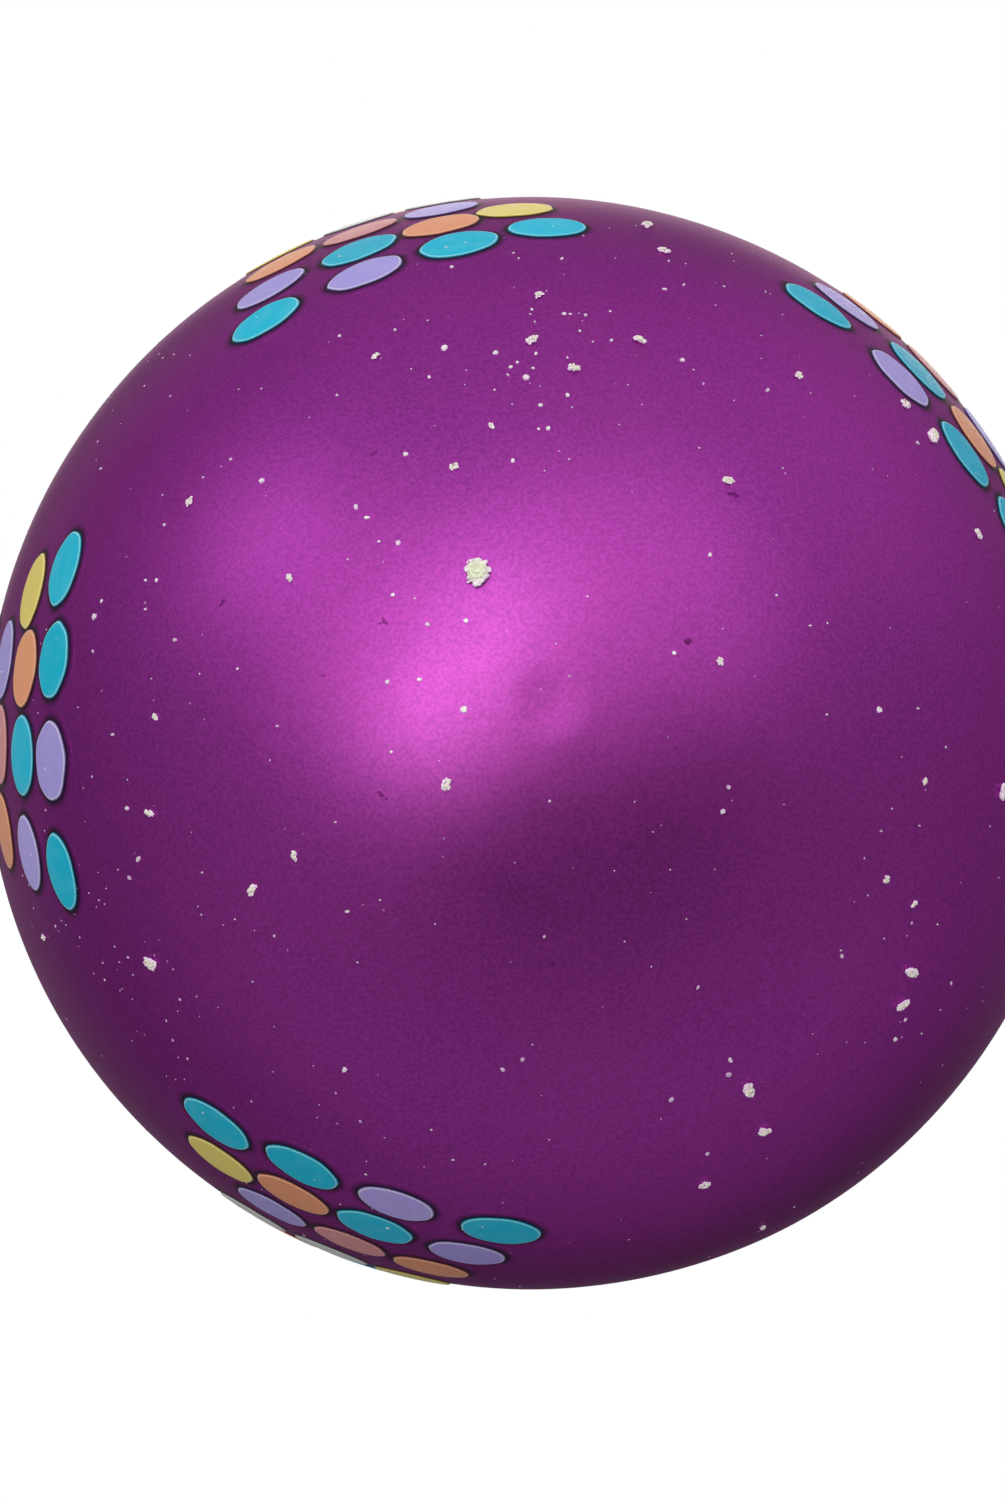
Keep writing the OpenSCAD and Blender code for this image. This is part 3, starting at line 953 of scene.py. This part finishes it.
def room():
    """A graded room that lights the ball and shows in it. The camera itself sees a white room that turns
    into the floor at the horizon."""
    world = bpy.data.worlds.new("studio")
    bpy.context.scene.world = world
    world.use_nodes = True
    tree = world.node_tree
    tree.nodes.clear()
    split = tree.nodes.new("ShaderNodeSeparateXYZ")
    tree.links.new(tree.nodes.new("ShaderNodeTexCoord").outputs["Generated"], split.inputs["Vector"])

    def graded(axis, start, end, at_start, at_end):
        """A number that goes smoothly from one value to another along an axis of the room."""
        ramp = tree.nodes.new("ShaderNodeMapRange")
        ramp.interpolation_type = "SMOOTHSTEP"
        for key, number in (("From Min", start), ("From Max", end), ("To Min", at_start), ("To Max", at_end)):
            ramp.inputs[key].default_value = number
        tree.links.new(split.outputs[axis], ramp.inputs["Value"])
        return ramp.outputs["Result"]

    def joined(kind, first, *others):
        """The others multiplied with the first, added to it or taken from it, one after another."""
        for other in others:
            node = tree.nodes.new("ShaderNodeMath")
            node.operation = kind
            tree.links.new(first, node.inputs[0])
            tree.links.new(other, node.inputs[1])
            first = node.outputs["Value"]
        return first

    def dimmed(light, share):
        """A light with a share of it taken away."""
        return joined("SUBTRACT", light, joined("MULTIPLY", light, share))

    # bright behind the key lamps and dark straight below
    walls = joined("MULTIPLY", graded("Y", 0.15, -0.8, 0.30, 0.54), graded("Z", -1.0, -0.6, 0.1, 1.0))
    # dim high up on the side away from the key
    far_top = joined("MULTIPLY", graded("Y", 0.15, 0.45, 0.0, 1.0), graded("Z", 0.35, 0.9, 0.0, 0.68))
    # dimmer just over the horizon on the left
    low_left = joined(
        "MULTIPLY", graded("Z", 0.0, 0.35, 0.0, 1.0), graded("Z", 0.85, 0.5, 0.0, 1.0),
        graded("X", -0.2, -0.7, 0.0, 0.32),
    )
    walls = dimmed(dimmed(walls, far_top), low_left)
    # a faint glow high up on the left
    high_left = joined("MULTIPLY", graded("X", 0.0, -0.4, 0.0, 0.12), graded("Z", 0.4, 0.8, 0.0, 1.0))
    # a faint band along the far horizon
    far_band = joined(
        "MULTIPLY", graded("Z", -0.6, -0.15, 0.0, 0.07), graded("Z", 0.35, 0.0, 0.0, 1.0),
        graded("Y", 0.2, 0.8, 0.0, 1.0),
    )
    # a brighter wall on the right, behind the key
    right_wall = joined(
        "MULTIPLY", graded("X", 0.2, 0.8, 0.0, 0.14), graded("Y", -0.2, -0.7, 0.0, 1.0),
        graded("Z", -0.4, 0.0, 0.0, 1.0),
    )
    lit = joined("ADD", walls, high_left, far_band, right_wall)
    # the white that the camera sees, a little darker at the horizon as the floor is there
    white = graded("Z", -0.02, 0.30, 0.86, 1.0)
    mix = tree.nodes.new("ShaderNodeMixShader")
    for strength, slot in ((lit, 1), (white, 2)):
        background = tree.nodes.new("ShaderNodeBackground")
        background.inputs["Color"].default_value = (1, 1, 1, 1)
        tree.links.new(strength, background.inputs["Strength"])
        tree.links.new(background.outputs["Background"], mix.inputs[slot])
    tree.links.new(tree.nodes.new("ShaderNodeLightPath").outputs["Is Camera Ray"], mix.inputs["Fac"])
    out = tree.nodes.new("ShaderNodeOutputWorld")
    tree.links.new(mix.outputs["Shader"], out.inputs["Surface"])


def floor():
    """A pale floor, far enough below the hanging ball for the camera to stand under it."""
    mesh = bpy.data.meshes.new("floor")
    corners = [(-1, -1), (1, -1), (1, 1), (-1, 1)]
    verts = [(x * FLOOR_REACH, y * FLOOR_REACH, CENTRE.z - FLOOR_DROP) for x, y in corners]
    mesh.from_pydata(verts, [], [(0, 1, 2, 3)])
    s = Shader(
        "floor", (0.85, 0.85, 0.85), roughness=0.8, Emission_Color=(1, 1, 1, 1), Emission_Strength=0.55,
    )
    mesh.materials.append(s.material)
    obj = bpy.data.objects.new("floor", mesh)
    bpy.context.scene.collection.objects.link(obj)
    # the ball mirrors the graded room, not the floor
    obj.visible_glossy = False
    obj.visible_diffuse = False


# ---- The scene ----
bpy.context.scene.view_settings.view_transform = "Standard"
lamps(*camera())
room()
floor()
lacquer_shader = lacquer_material()
glass_ball(lacquer_shader)
dots_rng = random.Random(7)
# painted shade round all the dots, gathered into one piece of darkened lacquer
painted_dot_shades = Heap("shade")
for enamel_name in ENAMELS:
    enamel_shader = enamel_material(enamel_name)
    for group_name in GROUPS:
        enamel_dots(group_name, enamel_name, enamel_shader, painted_dot_shades, dots_rng)
painted_dot_shades.piece("lacquer_painted_shade", "lacquered_glass", lacquer_shader, smooth=True)
glitter_crumbs(random.Random(11))
flake_shader = flake_material()
glitter_flakes(flake_shader, random.Random(5))
glitter_dust(flake_shader, random.Random(23))
lacquer_chips(random.Random(3))
fluted_cap()
hanger()
